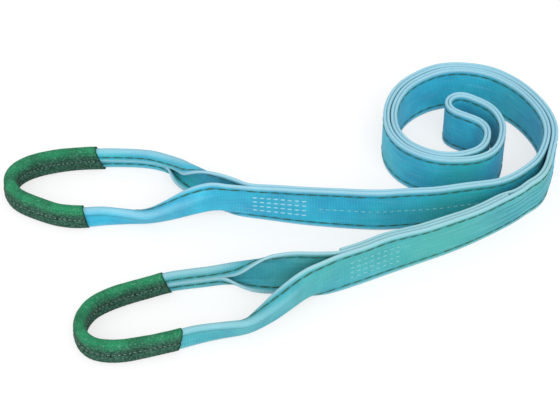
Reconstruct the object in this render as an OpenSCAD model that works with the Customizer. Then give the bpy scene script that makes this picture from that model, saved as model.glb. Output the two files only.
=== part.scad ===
// Two-ply eye-and-eye flat web sling, stored on its edge: doubled at mid length, wound into a
// coil, with both eyes laid out to one side. Millimetres, +Z up, standing on z = 0.

/* [Webbing] */
// Width of the webbing, which is the height of the sling on its edge
web_w = 50; // [40:1:65]
// Thickness of one ply
ply_t = 3.4; // [2.8:0.1:4.2]
// Gap between neighbouring turns of the coil
turn_gap = 0.8; // [0.6:0.1:3]
// Running gap where the sling bends at a flex line
flex_gap = 0.3; // [0.2:0.05:0.5]

/* [Coil and legs] */
// Width across the coil, outside
coil_w = 170; // [140:1:220]
// Length of the leg that lies next to the coil, to its throat
leg_1_len = 250; // [200:5:320]
// Length of the outer leg, to its throat
leg_2_len = 216; // [180:4:280]
// Distance from the flex line to the hidden webbing end, where the lap on the back starts
lap_start = 36; // [32:1:60]
// Distance from the webbing end that shows on the back to the throat
lap_tail = 8; // [6:1:40]

/* [Eyes] */
// Length of each eye, from its throat to its bearing end
eye_len = 240; // [200:5:300]
// Height of the webbing where it is folded in the eye
fold_h = 23.5; // [20:0.5:28]
// Thickness of the webbing where it is folded in the eye
fold_t = 7.2; // [6.4:0.1:9]
// Thickness of the folded webbing at the bearing end, where it opens a little
bearing_t = 10.5; // [8:0.5:13]

/* [Wear sleeves] */
// Length of each wear sleeve
sleeve_len = 206; // [150:2:220]
// Thickness of the sleeve cloth
sleeve_t = 1.2; // [1:0.1:1.8]
// Clearance between the sleeve and the webbing in it
sleeve_gap = 0.3; // [0.2:0.05:0.6]
// Height of the sleeve's sewn seam above its lower edge
sleeve_seam_z = 9; // [7:0.5:12]

/* [Stitching] */
// Distance of the edge seams from the edges of the webbing
seam_inset = 6; // [4:0.5:10]
// Width of a seam, as a band of thread
thread_w = 1.2; // [0.8:0.1:1.6]
// How far the thread stands proud of the webbing
thread_t = 0.25; // [0.2:0.05:0.3]
// Length of the throat stitching
throat_len = 56; // [40:2:80]
// Rows of throat stitching
throat_rows = 4; // [2:1:6]
// Distance between the rows of throat stitching
throat_pitch = 6.5; // [5:0.5:7]

/* [Hidden] */

web_blue = "#2ba6c8";
web_pale = "#6cc3d8";
thread_green = "#0f4f3f";
thread_pale = "#cfe6ea";
sleeve_green = "#2d6a55";

strap_t = 2 * ply_t;                 // two plies, face to face
knuckle_r = strap_t / 2;             // round end of the strap at a flex line
cup_r = knuckle_r + flex_gap;        // hollow end that faces it
half_pitch = (strap_t + turn_gap) / 2;
seam_clear = 8;                      // seams stop this far from a flex line
sleeve_skin = sleeve_t + sleeve_gap; // from the folded webbing to the outside of the sleeve
sleeve_h = fold_h + 2 * sleeve_skin;

// Middle of the doubled strap from the closed end outwards, with how far its halves stand open
// beyond their pitch, at a coil width of 170.
COIL_ROUTE = [[186, 124, 10.5], [205, 112, 9.5], [213, 102, 7], [217, 91, 5], [217, 79, 3.5],
    [214, 66, 3], [208, 55, 2.5], [199, 48, 1.8], [188, 44, 1], [175, 42, 0], [163, 42, 0],
    [150, 45, 0], [137, 52, 0], [126, 61, 0], [118, 73, 0], [113, 88, 0], [112, 104, 0],
    [114, 120, 0], [120, 137, 0], [130, 153, 0], [144, 166, 0], [161, 176, 0], [181, 181, 0],
    [201, 180, 0], [221, 174, 0], [238, 162, 0], [252, 147, 0], [263, 129, 0], [271, 109, 0],
    [274, 89, 0], [272, 71, 0], [266, 51, 0]];
COIL_ROUTE_W = 170;
COIL_CENTRE = [190, 104];
// From the last point of the route to the flex line, for the inner and the outer strand
INNER_TAIL = [[-10.5, -12], [-23, -25.5], [-38, -37.5], [-54, -45]];
OUTER_TAIL = [[-1, -15], [-9, -28.5], [-22, -39]];
// Legs from their flex line to the throat, at their nominal lengths
LEG_1_ROUTE = [[0, 0], [-22, -4.5], [-42, -8], [-60, -11], [-90, -14], [-115, -16], [-154, -13],
    [-192, -8], [-222, -2], [-248, 3]];
LEG_1_ROUTE_LEN = 250;
LEG_2_ROUTE = [[0, 0], [-12, -11], [-33, -26], [-57, -41.5], [-81, -55], [-104, -66], [-127, -77],
    [-146, -86], [-164, -95], [-188, -106]];
LEG_2_ROUTE_LEN = 216;
// Eyes from the throat, round by the front arm and the bearing end, and back, at an eye length
// of 240
EYE_1_ROUTE = [[-22, -1], [-43, -4], [-63, -8.5], [-87, -13], [-112, -13.5], [-137, -14],
    [-162, -16], [-184, -13], [-206, -3], [-223, 7], [-232, 19], [-235, 31], [-232, 43],
    [-222, 54], [-207, 61.5], [-188, 67], [-168, 70], [-148, 71], [-118, 71], [-99, 69],
    [-82, 62], [-67, 49], [-53, 34], [-39, 22], [-22, 10.5]];
EYE_2_ROUTE = [[-18, -11], [-37, -24], [-60, -43], [-84, -57], [-98, -60], [-118, -64],
    [-138, -71], [-152, -76.5], [-168, -81.5], [-186, -87], [-202, -90.5], [-218, -90],
    [-231, -85], [-239, -74], [-241.5, -62], [-239, -49], [-232, -36.5], [-219, -26.5],
    [-201, -17.5], [-180, -9.5], [-163, -4.5], [-150, -3], [-130, -2.5], [-105, -2.5],
    [-80, -3.5], [-58, -4], [-38, -3.5], [-20, -2.5]];
EYE_ROUTE_LEN = 240;
// Distance along each eye's webbing, from the front of the throat, to the start of its sleeve
EYE_1_SLEEVE_FROM = 150;
EYE_2_SLEEVE_FROM = 172;

// How the webbing folds, comes down to the floor and leans along an arm, by distance from the
// throat
FOLD = [[0, 0], [20, 0.12], [45, 0.5], [70, 0.85], [95, 1], [400, 1]];
DROP = [[0, 0], [30, 0.08], [70, 0.4], [110, 0.85], [140, 1], [400, 1]];
EYE_1_LEAN = [[0, 0], [30, 0.15], [60, 0.3], [88, 0.55], [112, 0.5], [140, 0.25], [170, 0.18],
    [400, 0.18], [440, 0.2], [520, 0.1], [540, 0]];
EYE_2_LEAN = [[0, 0], [30, 0.1], [60, 0.3], [100, 0.5], [130, 0.32], [165, 0.2], [200, 0.18],
    [400, 0.18], [460, 0.25], [520, 0.1], [545, 0]];

// --- curves -------------------------------------------------------------------------------
function unit(v) = v / norm(v);
function left_of(v) = [-v[1], v[0]];
function flat(v) = [v[0], v[1]];
function last(v) = v[len(v) - 1];
function turned_round(v) = [for (i = [len(v) - 1:-1:0]) v[i]];

// A point on a smooth curve through the points, in the stretch that starts at number i
function curve_point(p, i, t) =
    let (n = len(p) - 1, a = p[max(i - 1, 0)], b = p[i], c = p[i + 1], d = p[min(i + 2, n)])
    b + t / 2 * (c - a) + t * t * (a - 2.5 * b + 2 * c - 0.5 * d)
    + t * t * t * (1.5 * b - 1.5 * c + 0.5 * d - 0.5 * a);
function smooth(p, steps) =
    [for (i = [0:len(p) - 2]) for (k = [0:steps - 1]) curve_point(p, i, k / steps), last(p)];

// Distance along a path, up to each of its points
function run(p) =
    [for (i = 0, s = 0; i < len(p);
          s = s + (i + 1 < len(p) ? norm(flat(p[i + 1] - p[i])) : 0), i = i + 1) s];
function heading(p, i) = unit(flat(p[min(i + 1, len(p) - 1)] - p[max(i - 1, 0)]));

// A rail is a list of [point, direction to the left, distance run]
function rail(p) =
    let (s = run(p)) [for (i = [0:len(p) - 1]) [flat(p[i]), left_of(heading(p, i)), s[i]]];
function rail_end(r) = last(r)[2];
function on_rail(r, d) =
    let (i = max([for (k = [0:len(r) - 2]) if (r[k][2] <= d) k]),
         t = (d - r[i][2]) / (r[i + 1][2] - r[i][2]))
    [for (j = [0:2]) r[i][j] + t * (r[i + 1][j] - r[i][j])];
// The part of a rail between two distances
SHORTEST_STEP = 0.6;
function stretch(r, from, to) =
    concat([on_rail(r, from)],
           [for (e = r) if (e[2] > from + SHORTEST_STEP && e[2] < to - SHORTEST_STEP) e],
           [on_rail(r, to)]);

// Rounded or hollow end of a band: radius r about the flex line, dir is which way it faces
CAP_STEPS = 5;
function cap(e, from, to, r, dir) =
    let (ahead = [e[1][1], -e[1][0]])
    [for (k = [0:CAP_STEPS]) let (o = from + (to - from) * k / CAP_STEPS)
        e[0] + o * e[1] + dir * ahead * sqrt(max(r * r - o * o, 0))];

// Outline of a band between two distances to the left of a rail; each is a number or a list
function at(o, i) = is_list(o) ? o[i] : o;
function side(r, o) = [for (i = [0:len(r) - 1]) r[i][0] + at(o, i) * r[i][1]];

// --- routes -------------------------------------------------------------------------------
coil_scale = coil_w / COIL_ROUTE_W;
coil_middle = smooth([for (p = COIL_ROUTE)
    [COIL_CENTRE[0] + (p[0] - COIL_CENTRE[0]) * coil_scale,
     COIL_CENTRE[1] + (p[1] - COIL_CENTRE[1]) * coil_scale, p[2]]], 3);
middle_rail = rail(coil_middle);
split = flat(last(coil_middle));

// side_of is +1 for the outer strand and -1 for the inner one
function strand(side_of, tail) =
    let (turns = [for (i = [0:len(coil_middle) - 2])
             middle_rail[i][0] + side_of * (half_pitch + coil_middle[i][2]) * middle_rail[i][1]],
         way_out = smooth(concat([last(turns)], [for (p = tail) split + p]), 3))
    concat(turns, [for (i = [1:len(way_out) - 1]) way_out[i]]);
inner_strand = strand(-1, INNER_TAIL);
outer_strand = strand(1, OUTER_TAIL);

// The closed end is a half round between the two strands
bight_r = half_pitch + COIL_ROUTE[0][2];
BIGHT_STEPS = 10;
bight = let (c = middle_rail[0][0], n = middle_rail[0][1])
    [for (k = [1:BIGHT_STEPS - 1]) let (a = -180 * k / BIGHT_STEPS)
        c - bight_r * [n[0] * cos(a) - n[1] * sin(a), n[0] * sin(a) + n[1] * cos(a)]];
coil_rail = rail(concat(turned_round(inner_strand), bight, outer_strand));

flex_1 = coil_rail[0][0];
flex_2 = last(coil_rail)[0];

function placed(route, start, scale) = [for (p = route) start + scale * p];
leg_1_rail = rail(smooth(placed(LEG_1_ROUTE, flex_1, leg_1_len / LEG_1_ROUTE_LEN), 3));
leg_2_rail = rail(smooth(placed(LEG_2_ROUTE, flex_2, leg_2_len / LEG_2_ROUTE_LEN), 3));
throat_1 = last(leg_1_rail);
throat_2 = last(leg_2_rail);

// An eye's route starts and ends beside the throat's flex line, one arm to each side of it.
// Its front arm leaves on the left of the leg, seen along the leg.
arm_offset = (ply_t + flex_gap) / 2;
function eye_rail(throat, route) =
    rail(smooth(concat([throat[0] + arm_offset * throat[1]],
                       placed(route, throat[0], eye_len / EYE_ROUTE_LEN),
                       [throat[0] - arm_offset * throat[1]]), 2));
eye_1_rail = eye_rail(throat_1, EYE_1_ROUTE);
eye_2_rail = eye_rail(throat_2, EYE_2_ROUTE);

// --- bands of webbing and thread ------------------------------------------------------------
module band(r, a, b, z, h, start = [], end = [])
    translate([0, 0, z]) linear_extrude(h)
        polygon(concat(start, side(r, a), end, turned_round(side(r, b))));

// A ply that ends in a knuckle at each of its flex lines. The band itself starts and stops a
// little short of the round and hollow ends.
CAP_MARGIN = 1;
module coil_ply(a, b)
    band(stretch(coil_rail, CAP_MARGIN, rail_end(coil_rail) - CAP_MARGIN), a, b, 0, web_w,
         cap(coil_rail[0], b, a, knuckle_r, -1), cap(last(coil_rail), a, b, knuckle_r, 1));

// A leg's ply starts with a hollow end, or square at a distance, and runs to a knuckle
module leg_ply(r, a, b, from = 0)
    band(stretch(r, max(from, cup_r + CAP_MARGIN), rail_end(r) - CAP_MARGIN), a, b, 0, web_w,
         from > 0 ? [] : cap(r[0], b, a, cup_r, 1), cap(last(r), a, b, knuckle_r, 1));

// One seam on both faces of a strap whose faces lie at these distances left of the rail
module seam(r, left_face, right_face, z, from, to) {
    part = stretch(r, from, to);
    band(part, left_face + thread_t, left_face, z - thread_w / 2, thread_w);
    band(part, right_face, right_face - thread_t, z - thread_w / 2, thread_w);
}
upper_z = web_w - seam_inset;
lower_z = seam_inset;

// --- coil -----------------------------------------------------------------------------------
module coil_outer_ply() color(web_blue) coil_ply(ply_t, 0);
module coil_inner_ply() color(web_blue) coil_ply(0, -ply_t);
module coil_seam(z) color(thread_green)
    seam(coil_rail, knuckle_r, -knuckle_r, z, seam_clear, rail_end(coil_rail) - seam_clear);
module coil_upper_seam() coil_seam(upper_z);
module coil_lower_seam() coil_seam(lower_z);

// --- leg 1 ----------------------------------------------------------------------------------
leg_1_end = rail_end(leg_1_rail);
module leg_1_front_ply() color(web_blue) leg_ply(leg_1_rail, ply_t, 0);
module leg_1_back_ply() color(web_blue) leg_ply(leg_1_rail, 0, -ply_t);
module leg_1_seam(z) color(thread_green)
    seam(leg_1_rail, knuckle_r, -knuckle_r, z, seam_clear, leg_1_end - seam_clear);
module leg_1_upper_seam() leg_1_seam(upper_z);
module leg_1_lower_seam() leg_1_seam(lower_z);
module leg_1_centre_row() color(thread_pale)
    seam(leg_1_rail, knuckle_r, -knuckle_r, web_w / 2, seam_clear,
         leg_1_end - throat_len - 2 * seam_clear);
throat_row_z = [for (k = [0:throat_rows - 1])
    web_w / 2 + (k - (throat_rows - 1) / 2) * throat_pitch];
module leg_1_throat_stitching() color(thread_pale) for (z = throat_row_z)
    seam(leg_1_rail, knuckle_r, -knuckle_r, z, leg_1_end - seam_clear - throat_len,
         leg_1_end - seam_clear);

// --- leg 2, with the lap on its back --------------------------------------------------------
// The ply that comes from the coil steps out over the hidden end of the ply from the eye.
LAP_STEP_FROM = 8;
LAP_STEP_CLEAR = 8;
leg_2_end = rail_end(leg_2_rail);
lap_end = leg_2_end - lap_tail;
function step_out(d) =
    let (t = (d - LAP_STEP_FROM) / (lap_start - LAP_STEP_CLEAR - LAP_STEP_FROM),
         u = max(0, min(1, t)))
    ply_t * u * u * (3 - 2 * u);
// A band on the back, between two distances out from the face that the lap lies on
module on_lap(part, a, b, z, h, start = [])
    band(part, [for (e = part) -step_out(e[2]) - a], [for (e = part) -step_out(e[2]) - b], z, h,
         start);

module leg_2_front_ply() color(web_pale) leg_ply(leg_2_rail, ply_t, 0);
module leg_2_back_ply() color(web_pale) leg_ply(leg_2_rail, 0, -ply_t, lap_start);
module leg_2_lap_ply() color(web_pale)
    on_lap(stretch(leg_2_rail, cup_r + CAP_MARGIN, lap_end), 0, ply_t, 0, web_w,
           cap(leg_2_rail[0], -ply_t, 0, cup_r, 1));
module front_row(z, from)
    band(stretch(leg_2_rail, from, leg_2_end - seam_clear), knuckle_r + thread_t, knuckle_r,
         z - thread_w / 2, thread_w);
module lap_row(z, from)
    on_lap(stretch(leg_2_rail, from, lap_end), ply_t, ply_t + thread_t, z - thread_w / 2,
           thread_w);
module leg_2_seam(z) color(thread_green) {
    front_row(z, seam_clear);
    lap_row(z, seam_clear);
}
module leg_2_upper_seam() leg_2_seam(upper_z);
module leg_2_lower_seam() leg_2_seam(lower_z);
module leg_2_throat_stitching() color(thread_pale) for (z = throat_row_z)
    front_row(z, leg_2_end - seam_clear - throat_len);
module leg_2_lap_stitching() color(thread_pale) for (z = throat_row_z) lap_row(z, lap_start);

// --- eyes -----------------------------------------------------------------------------------
// Corner points of the folded webbing's section, grown by skin: [across, up]
CHAMFER = 0.28;
function section(t, h, skin) =
    let (a = t / 2 + skin, b = h / 2 + skin, c = CHAMFER * t + skin / 2)
    [[a, c - b], [a, b - c], [a - c, b], [c - a, b], [-a, b - c], [-a, c - b], [c - a, -b],
     [a - c, -b]];

// Everything about the webbing at one place of an eye: thickness, height, middle, lean. It is
// thickest at the bearing end, which is this share of the way round, and within this reach of it.
BEARING_AT = 0.49;
BEARING_REACH = 75;
function arm_state(e, total, lean) =
    let (d = min(e[2], total - e[2]), f = lookup(d, FOLD), g = lookup(d, DROP),
         tip = max(0, 1 - pow((e[2] - total * BEARING_AT) / BEARING_REACH, 2)),
         h = web_w + (fold_h - web_w) * f)
    [ply_t + (fold_t - ply_t) * f + (bearing_t - fold_t) * tip, h,
     max(web_w / 2 + (sleeve_h / 2 - web_w / 2) * g, h / 2), lookup(e[2], lean)];

function ring(e, state, shape) =
    [for (q = shape) let (xy = e[0] + q[0] * e[1])
        [xy[0], xy[1] - state[3] * q[1], state[2] + q[1]]];

// An arm ends this share of the knuckle's radius ahead of the throat's flex line, and less by
// this share of its distance to one side of it. It leaves the throat with a turn of 1 and comes
// back with a turn of -1.
END_AHEAD = 1.25;
END_SLOPE = 0.62;
function end_ring(throat, state, shape, turn) =
    let (ahead = [throat[1][1], -throat[1][0]])
    [for (q = shape) let (o = arm_offset + q[0],
         xy = throat[0] + turn * o * throat[1] + (knuckle_r * END_AHEAD - END_SLOPE * o) * ahead)
        [xy[0], xy[1], state[2] + q[1]]];

function ring_faces(first, second, n) =
    [for (k = [0:n - 1]) let (m = (k + 1) % n)
        each [[first + k, second + k, second + m], [first + k, second + m, first + m]]];
function lid(start, n) = [for (k = [1:n - 2]) [start, start + k, start + k + 1]];
function lid_back(start, n) = [for (k = [1:n - 2]) [start, start + k + 1, start + k]];

module solid_sweep(rings) {
    n = len(rings[0]);
    count = len(rings);
    polyhedron([for (r = rings) each r],
        concat([for (i = [0:count - 2]) each ring_faces(i * n, (i + 1) * n, n)],
               lid(0, n), lid_back((count - 1) * n, n)));
}

ARM_END = 3; // from the flex line's hollow to an arm's first square section
module eye_web(throat, r, lean) {
    total = rail_end(r);
    body = stretch(r, cup_r + ARM_END, total - cup_r - ARM_END);
    flat_web = arm_state(r[0], total, lean);
    end_shape = section(flat_web[0], flat_web[1], 0);
    color(web_blue) solid_sweep(concat(
        [end_ring(throat, flat_web, end_shape, 1)],
        [for (e = body) let (s = arm_state(e, total, lean)) ring(e, s, section(s[0], s[1], 0))],
        [end_ring(throat, flat_web, end_shape, -1)]));
}

module eye_sleeve(r, lean, from) {
    total = rail_end(r);
    body = stretch(r, from, from + sleeve_len);
    n = len(section(1, 1, 0));
    count = len(body);
    outer = [for (e = body) let (s = arm_state(e, total, lean))
        ring(e, s, section(s[0], s[1], sleeve_skin))];
    inner = [for (e = body) let (s = arm_state(e, total, lean))
        ring(e, s, section(s[0], s[1], sleeve_gap))];
    mid = count * n;
    color(sleeve_green) polyhedron(concat([for (r = outer) each r], [for (r = inner) each r]),
        concat([for (i = [0:count - 2]) each ring_faces(i * n, (i + 1) * n, n)],
               [for (i = [0:count - 2]) each ring_faces(mid + (i + 1) * n, mid + i * n, n)],
               ring_faces(mid, 0, n),
               ring_faces((count - 1) * n, mid + (count - 1) * n, n)));
}

// The sleeve's sewn seam, as a raised band on each of its two faces
module eye_sleeve_seam(r, lean, from) {
    total = rail_end(r);
    body = stretch(r, from + seam_clear, from + sleeve_len - seam_clear);
    color(thread_green) for (side_of = [-1, 1])
        solid_sweep([for (e = body) let (s = arm_state(e, total, lean),
            a = s[0] / 2 + sleeve_skin, z = sleeve_seam_z - s[2],
            quad = [[a, z - thread_w / 2], [a + thread_t, z - thread_w / 2],
                    [a + thread_t, z + thread_w / 2], [a, z + thread_w / 2]])
            ring(e, s, side_of > 0 ? quad : [for (q = turned_round(quad)) [-q[0], q[1]]])]);
}

module eye_1_web() eye_web(throat_1, eye_1_rail, EYE_1_LEAN);
module eye_1_sleeve() eye_sleeve(eye_1_rail, EYE_1_LEAN, EYE_1_SLEEVE_FROM);
module eye_1_sleeve_seam() eye_sleeve_seam(eye_1_rail, EYE_1_LEAN, EYE_1_SLEEVE_FROM);
module eye_2_web() eye_web(throat_2, eye_2_rail, EYE_2_LEAN);
module eye_2_sleeve() eye_sleeve(eye_2_rail, EYE_2_LEAN, EYE_2_SLEEVE_FROM);
module eye_2_sleeve_seam() eye_sleeve_seam(eye_2_rail, EYE_2_LEAN, EYE_2_SLEEVE_FROM);

coil_outer_ply();
coil_inner_ply();
coil_upper_seam();
coil_lower_seam();
leg_1_front_ply();
leg_1_back_ply();
leg_1_upper_seam();
leg_1_lower_seam();
leg_1_centre_row();
leg_1_throat_stitching();
leg_2_front_ply();
leg_2_back_ply();
leg_2_lap_ply();
leg_2_upper_seam();
leg_2_lower_seam();
leg_2_throat_stitching();
leg_2_lap_stitching();
eye_1_web();
eye_1_sleeve();
eye_1_sleeve_seam();
eye_2_web();
eye_2_sleeve();
eye_2_sleeve_seam();
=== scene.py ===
# %% [markdown]
# # A flat web sling, coiled for storage
# The sling is one long strip of woven polyester, laid double, sewn along both edges and turned
# back into an eye at each end. Each eye wears a sleeve of coarse green cloth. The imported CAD
# model already holds every size and every joint, so the script starts by loading it. What
# follows only dresses it.

# %% Load the frame
import math

import bmesh
import bpy
import numpy as np
from mathutils import Matrix, Vector


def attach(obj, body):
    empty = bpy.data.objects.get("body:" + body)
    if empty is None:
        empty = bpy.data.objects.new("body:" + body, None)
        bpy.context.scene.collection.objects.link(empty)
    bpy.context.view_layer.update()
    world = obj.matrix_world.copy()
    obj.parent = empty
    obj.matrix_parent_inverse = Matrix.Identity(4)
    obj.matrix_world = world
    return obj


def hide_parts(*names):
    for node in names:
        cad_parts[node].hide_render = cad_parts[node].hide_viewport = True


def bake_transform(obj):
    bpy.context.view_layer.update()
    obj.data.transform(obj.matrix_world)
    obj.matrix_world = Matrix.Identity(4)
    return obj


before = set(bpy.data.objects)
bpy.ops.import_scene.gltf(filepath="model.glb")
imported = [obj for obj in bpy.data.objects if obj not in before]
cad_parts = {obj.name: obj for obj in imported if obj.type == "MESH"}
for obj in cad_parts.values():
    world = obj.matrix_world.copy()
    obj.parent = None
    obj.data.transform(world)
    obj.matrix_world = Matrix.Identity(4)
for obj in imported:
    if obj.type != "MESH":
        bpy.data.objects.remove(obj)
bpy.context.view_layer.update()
MM = 0.001

# %% [markdown]
# ## The camera
# A long lens from 1.75 m away looks down at the floor at 43.5 degrees. A long
# lens keeps the two legs nearly parallel, which is how such a sling is shown in a catalogue.

# %% Camera
LOOK_AT = Vector((0.0, -0.010, 0.025))
DISTANCE = 1.75
ELEVATION = math.radians(43.5)
towards_camera = Vector((0, -math.cos(ELEVATION), math.sin(ELEVATION)))
camera = bpy.data.objects.new("camera", bpy.data.cameras.new("camera"))
camera.data.lens = 114.75
camera.data.sensor_width = 36.0
camera.location = LOOK_AT + DISTANCE * towards_camera
camera.rotation_euler = towards_camera.to_track_quat("Z", "Y").to_euler()
bpy.context.collection.objects.link(camera)
bpy.context.scene.camera = camera
print("camera at", [round(c, 3) for c in camera.location])

# %% [markdown]
# ## Where the webbing runs
# A strap can't be modelled well without knowing the line it follows. These are the points of the
# CAD source, in millimetres, joined by a smooth curve. Three points on the front arm of eye 1 are
# moved by up to 4 mm. Distances to one side of a line are positive to its left.

# %% Curves through given points
def curve(points, steps):
    """Points on a smooth curve through the given ones, with that many steps in each stretch."""
    p = np.array(points, float)
    last = len(p) - 1
    t = (np.arange(steps) / steps)[:, None]
    parts = []
    for i in range(last):
        a, b, c, d = p[max(i - 1, 0)], p[i], p[i + 1], p[min(i + 2, last)]
        parts.append(b + t / 2 * (c - a) + t**2 * (a - 2.5 * b + 2 * c - 0.5 * d)
                     + t**3 * (1.5 * b - 1.5 * c + 0.5 * d - 0.5 * a))
    return np.vstack(parts + [p[-1:]])


def left_of(path):
    """The unit direction to the left at each point of a path."""
    index = np.arange(len(path))
    ahead = path[np.minimum(index + 1, len(path) - 1)] - path[np.maximum(index - 1, 0)]
    return np.stack([-ahead[:, 1], ahead[:, 0]], 1) / np.linalg.norm(ahead, axis=1)[:, None]


def beside(path, offset):
    """The path moved to its left, by one distance or by one for each point."""
    return path + np.reshape(offset, (-1, 1)) * left_of(path)


def run(path):
    """The distance along a path, up to each of its points."""
    steps = np.linalg.norm(np.diff(path, axis=0), axis=1)
    return np.concatenate([[0], np.cumsum(steps)])


# %% [markdown]
# The coil is described by the middle of the doubled strap, from the closed end outwards. The
# third number is how far the two halves stand open beyond their pitch. The closed end itself is
# a half circle.

# %% Route of the coil
WEB_W = 50
PLY = 3.4
TURN_GAP = 0.8
HALF_PITCH = (2 * PLY + TURN_GAP) / 2
COIL_ROUTE = [[186, 124, 10.5], [205, 112, 9.5], [213, 102, 7], [217, 91, 5], [217, 79, 3.5],
    [214, 66, 3], [208, 55, 2.5], [199, 48, 1.8], [188, 44, 1], [175, 42, 0], [163, 42, 0],
    [150, 45, 0], [137, 52, 0], [126, 61, 0], [118, 73, 0], [113, 88, 0], [112, 104, 0],
    [114, 120, 0], [120, 137, 0], [130, 153, 0], [144, 166, 0], [161, 176, 0], [181, 181, 0],
    [201, 180, 0], [221, 174, 0], [238, 162, 0], [252, 147, 0], [263, 129, 0], [271, 109, 0],
    [274, 89, 0], [272, 71, 0], [266, 51, 0]]
INNER_TAIL = [[-10.5, -12], [-23, -25.5], [-38, -37.5], [-54, -45]]
OUTER_TAIL = [[-1, -15], [-9, -28.5], [-22, -39]]
COIL_STEPS = 3
BIGHT_STEPS = 10

coil_middle = curve(COIL_ROUTE, COIL_STEPS)


def strand(side, tail):
    """One half of the doubled strap, +1 for the outer one and -1 for the inner one."""
    middle = coil_middle[:, :2]
    turns = beside(middle, side * (HALF_PITCH + coil_middle[:, 2]))[:-1]
    way_out = curve(np.vstack([turns[-1:], middle[-1] + np.array(tail)]), COIL_STEPS)
    return np.vstack([turns, way_out[1:]])


def closed_end():
    """The half circle between the two halves, from the inner one to the outer one."""
    centre, radius = coil_middle[0, :2], HALF_PITCH + COIL_ROUTE[0][2]
    n = left_of(coil_middle[:2, :2])[0]
    turn = -np.pi * np.arange(1, BIGHT_STEPS) / BIGHT_STEPS
    across = n[0] * np.cos(turn) - n[1] * np.sin(turn)
    along = n[0] * np.sin(turn) + n[1] * np.cos(turn)
    return centre - radius * np.stack([across, along], 1)


coil_line = np.vstack([strand(-1, INNER_TAIL)[::-1], closed_end(), strand(1, OUTER_TAIL)])
flex_1, flex_2 = coil_line[0], coil_line[-1]
print("strap in the coil:", round(run(coil_line)[-1]), "mm, from", flex_1, "to", flex_2)

# %% [markdown]
# The legs start at the two flex lines and end at the throats, where the two plies part to form
# an eye. An eye's route goes out by the front arm, round the bearing end and back.

# %% Routes of the legs and the eyes
LEG_1_ROUTE = [[0, 0], [-22, -4.5], [-42, -8], [-60, -11], [-90, -14], [-115, -16], [-154, -13],
    [-192, -8], [-222, -2], [-248, 3]]
LEG_2_ROUTE = [[0, 0], [-12, -11], [-33, -26], [-57, -41.5], [-81, -55], [-104, -66], [-127, -77],
    [-146, -86], [-164, -95], [-188, -106]]
EYE_1_ROUTE = [[-22, -1], [-43, -4], [-63, -8.5], [-87, -10.5], [-112, -9.5], [-137, -12],
    [-162, -16], [-184, -13], [-206, -3], [-223, 7], [-232, 19], [-235, 31], [-232, 43],
    [-222, 54], [-207, 61.5], [-188, 67], [-168, 70], [-148, 71], [-118, 71], [-99, 69],
    [-82, 62], [-67, 49], [-53, 34], [-39, 22], [-22, 10.5]]
EYE_2_ROUTE = [[-18, -11], [-37, -24], [-60, -43], [-84, -57], [-98, -60], [-118, -64],
    [-138, -71], [-152, -76.5], [-168, -81.5], [-186, -87], [-202, -90.5], [-218, -90],
    [-231, -85], [-239, -74], [-241.5, -62], [-239, -49], [-232, -36.5], [-219, -26.5],
    [-201, -17.5], [-180, -9.5], [-163, -4.5], [-150, -3], [-130, -2.5], [-105, -2.5],
    [-80, -3.5], [-58, -4], [-38, -3.5], [-20, -2.5]]
LEG_STEPS = 3
EYE_STEPS = 2

leg_1 = flex_1 + curve(LEG_1_ROUTE, LEG_STEPS)
leg_2 = flex_2 + curve(LEG_2_ROUTE, LEG_STEPS)


def eye_line(leg, route):
    """An eye's line, which starts and ends in the middle of one ply at the throat."""
    throat, n = leg[-1], left_of(leg)[-1] * PLY / 2
    return curve(np.vstack([throat + n, throat + np.array(route), throat - n]), EYE_STEPS)


eye_1, eye_2 = eye_line(leg_1, EYE_1_ROUTE), eye_line(leg_2, EYE_2_ROUTE)
print("legs:", round(run(leg_1)[-1]), "and", round(run(leg_2)[-1]), "mm")
print("eyes:", round(run(eye_1)[-1]), "and", round(run(eye_2)[-1]), "mm round")

# %% [markdown]
# ## One strip from end to end
# The real sling is a single strip. It starts at the lap on the back of leg 2, goes through the
# coil as its inner ply, out along leg 1, round eye 1 and back, through the coil again as the
# outer ply, and round eye 2 to its other end under the lap. Chaining the lines in that order
# gives one distance, s, that says where anything is on the strip.

# %% Chain the lines
LAP_START = 28
LAP_TAIL = 3
LAP_STEP_FROM = 18
LAP_STEP_TO = 34


def fine(path):
    """The same path with a point about every millimetre."""
    at = run(path)
    even = np.linspace(0, at[-1], int(at[-1]) + 1)
    return np.stack([np.interp(even, at, path[:, k]) for k in (0, 1)], 1)


leg_2 = fine(leg_2)
leg_2_run = run(leg_2)
lap_rise = np.clip((leg_2_run - LAP_STEP_FROM) / (LAP_STEP_TO - LAP_STEP_FROM), 0, 1)
lap_step = PLY * lap_rise**2 * (3 - 2 * lap_rise)
lap = beside(leg_2, -lap_step - PLY / 2)[leg_2_run <= leg_2_run[-1] - LAP_TAIL]
STRETCHES = {
    "lap": lap[::-1],
    "coil_inner": beside(coil_line, -PLY / 2)[::-1],
    "leg_1_front": beside(leg_1, PLY / 2),
    "eye_1": eye_1,
    "leg_1_back": beside(leg_1, -PLY / 2)[::-1],
    "coil_outer": beside(coil_line, PLY / 2),
    "leg_2_front": beside(leg_2, PLY / 2),
    "eye_2": eye_2,
    "leg_2_back": beside(leg_2, -PLY / 2)[leg_2_run >= LAP_START][::-1],
}
chain = np.vstack(list(STRETCHES.values()))
chain_run = run(chain)
ends = np.cumsum([len(line) for line in STRETCHES.values()]) - 1
starts = np.concatenate([[0], ends[:-1] + 1])
SPAN = {name: (chain_run[i], chain_run[j]) for name, i, j in zip(STRETCHES, starts, ends)}
print("webbing in one strip:", round(chain_run[-1]), "mm")
for name, (low, high) in SPAN.items():
    print(f"  {name}: {low:.0f} to {high:.0f}")

# %% [markdown]
# Where two lines meet there is a slight corner, and woven webbing can't turn a corner. Sampling
# the chain every millimetre and averaging over a few millimetres rounds it, as the stiffness of
# the cloth does.

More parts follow.
